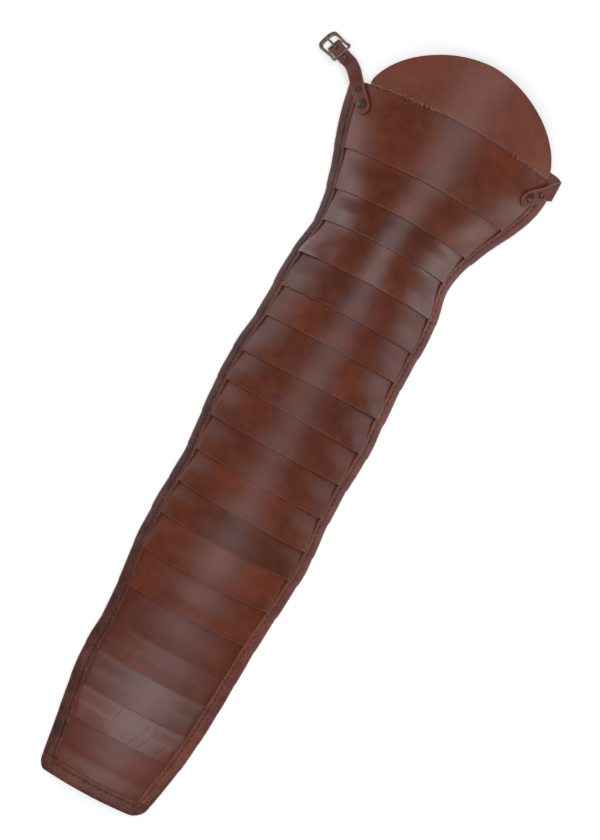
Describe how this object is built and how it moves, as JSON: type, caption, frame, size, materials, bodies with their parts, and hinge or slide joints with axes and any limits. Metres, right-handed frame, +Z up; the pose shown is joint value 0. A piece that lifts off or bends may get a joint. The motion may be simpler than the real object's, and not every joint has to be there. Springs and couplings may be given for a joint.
{
  "type": "leather manica",
  "caption": "Leather arm guard of overlapping lames under a rounded shoulder cap, with bound edges, a buckle strap and a long strap.",
  "frame": {"origin": "middle of the manica's box, on the surface it lies on", "axes": "+Y along the arm from the wrist to the shoulder, +Z up out of the surface, away from the arm's hollow"},
  "size_m": [0.2508, 0.7376, 0.0504],
  "materials": {
    "lame_leather": "waxed, semi-gloss",
    "cap_leather": "waxed, semi-gloss",
    "binding_leather": "satin, creased",
    "strap_leather": "satin",
    "rivet_metal": "antique",
    "buckle_metal": "antique"
  },
  "bodies": {
    "leather": {"shoulder_cap": "cap_leather", "lame_01": "lame_leather", "lame_02": "lame_leather", "lame_03": "lame_leather", "lame_04": "lame_leather", "lame_05": "lame_leather", "lame_06": "lame_leather", "lame_07": "lame_leather", "lame_08": "lame_leather", "lame_09": "lame_leather", "lame_10": "lame_leather", "lame_11": "lame_leather", "lame_12": "lame_leather", "lame_13": "lame_leather", "lame_14": "lame_leather", "lame_15": "lame_leather", "lame_16": "lame_leather", "lame_17": "lame_leather", "lame_18": "lame_leather", "lame_19": "lame_leather", "binding_left": "binding_leather", "binding_right": "binding_leather", "binding_wrist": "binding_leather", "buckle_strap": "strap_leather", "long_strap": "strap_leather", "strap_rivet_1": "rivet_metal", "strap_rivet_2": "rivet_metal", "strap_rivet_3": "rivet_metal", "strap_rivet_4": "rivet_metal", "strap_rivet_5": "rivet_metal"},
    "frame": {"buckle_frame": "buckle_metal"},
    "prong": {"buckle_prong": "buckle_metal"}
  },
  "joints": [
    {"name": "buckle_frame_hinge", "type": "hinge", "parent": "leather", "child": "frame", "pos_m": [-0.111, 0.32525, 0.00795], "axis": [-0.3445, -0.9388, 0], "range_deg": [0, 60]},
    {"name": "buckle_prong_hinge", "type": "hinge", "parent": "frame", "child": "prong", "pos_m": [-0.111, 0.32525, 0.00795], "axis": [0.3445, 0.9388, 0], "range_deg": [0, 100]}
  ]
}
